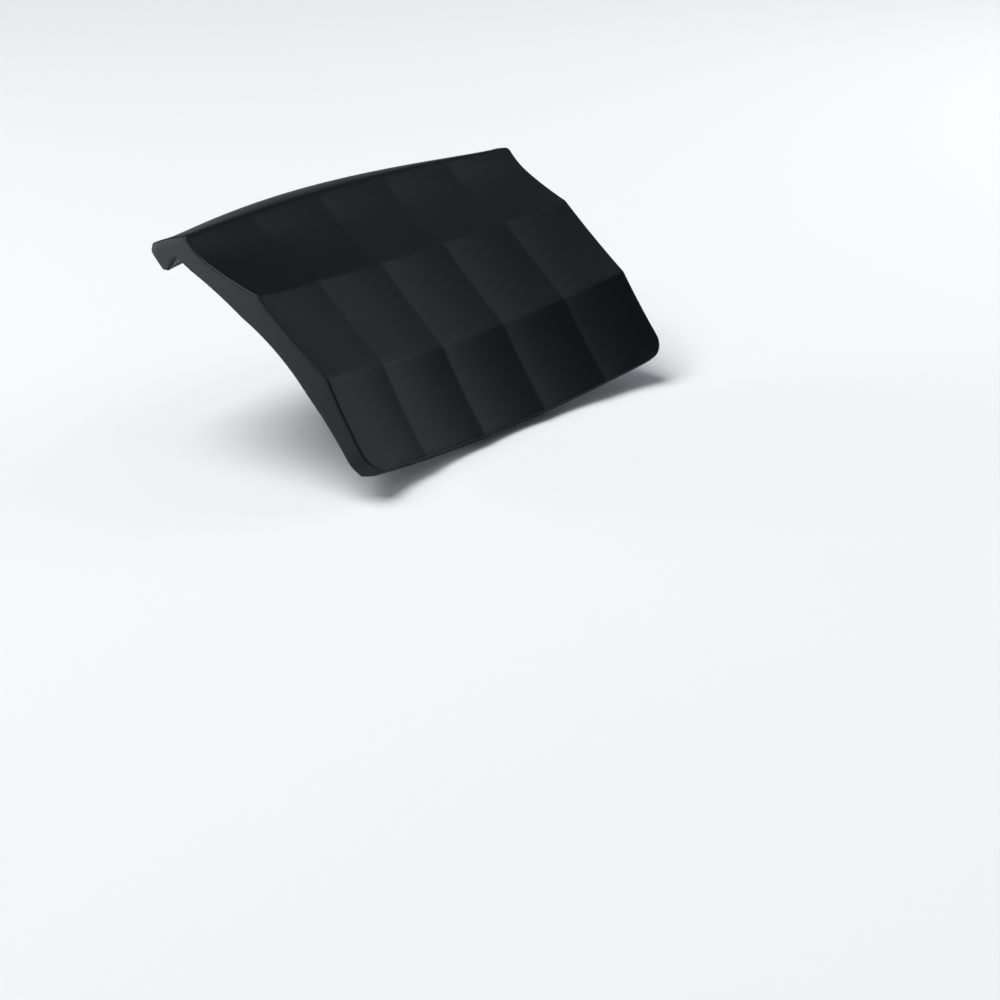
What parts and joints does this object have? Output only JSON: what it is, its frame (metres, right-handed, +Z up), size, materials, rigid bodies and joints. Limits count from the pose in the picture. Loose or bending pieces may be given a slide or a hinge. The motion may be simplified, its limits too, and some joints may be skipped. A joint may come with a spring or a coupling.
{
  "type": "bath pillow",
  "caption": "Black padded bath headrest with rows of dished tiles, bent round the tub's end wall, with a hook over the rim and suction cups in wells underneath.",
  "frame": {"origin": "middle of the flat seat under the hook, where the pad rests on the tub's rim", "axes": "+X along the pad's width, +Y away from the bather over the rim, +Z up"},
  "size_m": [0.3234, 0.2127, 0.1433],
  "materials": {
    "cover_skin": "satin near-black polyurethane skin with a very fine grain",
    "foam": "matt open-cell foam",
    "strap_steel": "plain stainless strip",
    "socket_plastic": "dark grey moulded plastic",
    "cup_vinyl": "smoky soft vinyl, glossy"
  },
  "bodies": {
    "root": {"tiled_cover": "cover_skin", "back_cover": "cover_skin", "foam_core": "foam", "hook_strap_left": "strap_steel", "hook_strap_right": "strap_steel", "cup_socket_left": "socket_plastic", "cup_socket_right": "socket_plastic", "suction_cup_left": "cup_vinyl", "suction_cup_right": "cup_vinyl"}
  },
  "joints": []
}
